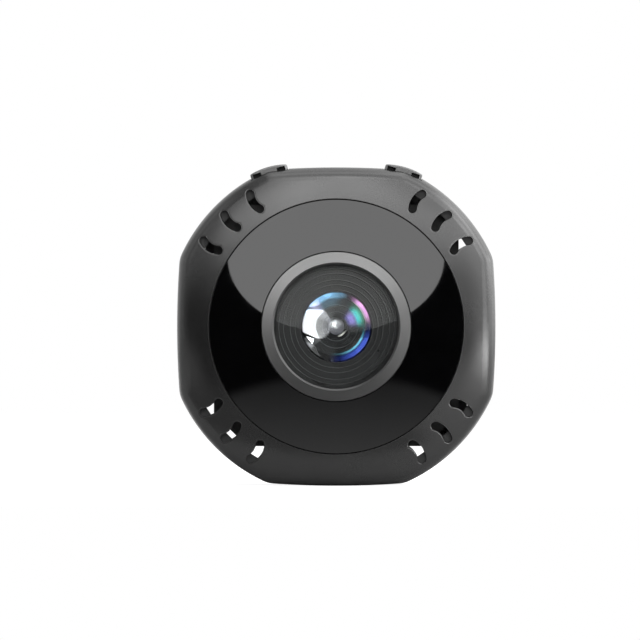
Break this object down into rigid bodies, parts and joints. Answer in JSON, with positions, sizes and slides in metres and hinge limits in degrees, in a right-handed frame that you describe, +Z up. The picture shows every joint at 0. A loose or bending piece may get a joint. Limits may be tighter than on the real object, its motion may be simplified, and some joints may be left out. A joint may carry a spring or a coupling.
{
  "type": "mini security camera",
  "caption": "Palm-sized round security camera with four flats, a recessed lens in a flush dark panel, corner vents, two top keys and a magnetic back.",
  "frame": {"origin": "middle of the lower flat that the camera stands on, half-way along its depth", "axes": "+Z up, -Y out of the lens, +X to the right as seen from the front"},
  "size_m": [0.045, 0.024, 0.0454],
  "materials": {
    "case_plastic": "satin",
    "key_plastic": "satin",
    "panel_plastic": "gloss",
    "bezel_metal": "satin",
    "clear_glass": "clear",
    "lens_glass": "coated",
    "black_plastic": "satin",
    "black_metal": "anodised satin",
    "board_mask": "solder mask",
    "sensor_silicon": "gloss",
    "lamp_resin": "clear resin",
    "plunger_plastic": "moulded",
    "bright_metal": "plated",
    "sink_metal": "bare",
    "screw_steel": "black zinc",
    "plate_steel": "brushed",
    "magnet_metal": "nickel plated",
    "card_plastic": "moulded",
    "battery_foil": "pouch foil",
    "tape": "adhesive foam",
    "pad_silicone": "silicone",
    "lead_sleeve": "sleeve",
    "antenna_film": "film"
  },
  "bodies": {
    "left_key": {"left_key": "key_plastic", "left_plunger": "plunger_plastic"},
    "right_key": {"right_key": "key_plastic", "right_plunger": "plunger_plastic"},
    "memory_card": {"memory_card": "card_plastic"},
    "reset_button": {"reset_button": "plunger_plastic"},
    "case": {"antenna": "antenna_film", "battery": "battery_foil", "battery_connector": "black_plastic", "battery_leads": "lead_sleeve", "battery_tape": "tape", "board_header": "black_plastic", "board_screws": "screw_steel", "card_socket": "bright_metal", "case_screws": "screw_steel", "cover_glass": "clear_glass", "front_housing": "case_plastic", "front_lens": "lens_glass", "front_panel": "panel_plastic", "heat_sink": "sink_metal", "image_sensor": "sensor_silicon", "infrared_leds": "lamp_resin", "ir_filter": "lens_glass", "led_board": "board_mask", "led_board_screws": "screw_steel", "left_switch": "black_plastic", "lens_baffle": "black_plastic", "lens_barrel": "black_metal", "lens_bezel": "bezel_metal", "lens_holder": "black_plastic", "lens_retainer": "black_metal", "lens_spacer": "black_plastic", "light_sensor": "sensor_silicon", "magnet": "magnet_metal", "main_board": "board_mask", "memory_chip": "black_plastic", "microphone": "bright_metal", "middle_lens": "lens_glass", "panel_tape": "tape", "processor": "black_plastic", "radio_module": "bright_metal", "rear_housing": "case_plastic", "rear_lens": "lens_glass", "rear_plate": "plate_steel", "reset_switch": "black_plastic", "right_switch": "black_plastic", "speaker": "black_plastic", "status_led": "lamp_resin", "stop_ring": "black_plastic", "thermal_pad": "pad_silicone", "usb_socket": "bright_metal", "vent_shield": "black_plastic"}
  },
  "joints": [
    {"name": "left_key_press", "type": "slide", "parent": "case", "child": "left_key", "axis": [0.2756, 0, -0.9613], "range_m": [0, 0.0003], "stiffness_N_per_m": 4000},
    {"name": "right_key_press", "type": "slide", "parent": "case", "child": "right_key", "axis": [-0.2756, 0, -0.9613], "range_m": [0, 0.0003], "stiffness_N_per_m": 4000},
    {"name": "reset_press", "type": "slide", "parent": "case", "child": "reset_button", "axis": [0, -1, 0], "range_m": [0, 0.00025], "stiffness_N_per_m": 4000},
    {"name": "card_slide", "type": "slide", "parent": "case", "child": "memory_card", "axis": [1, 0, 0], "range_m": [0, 0.0165]}
  ]
}
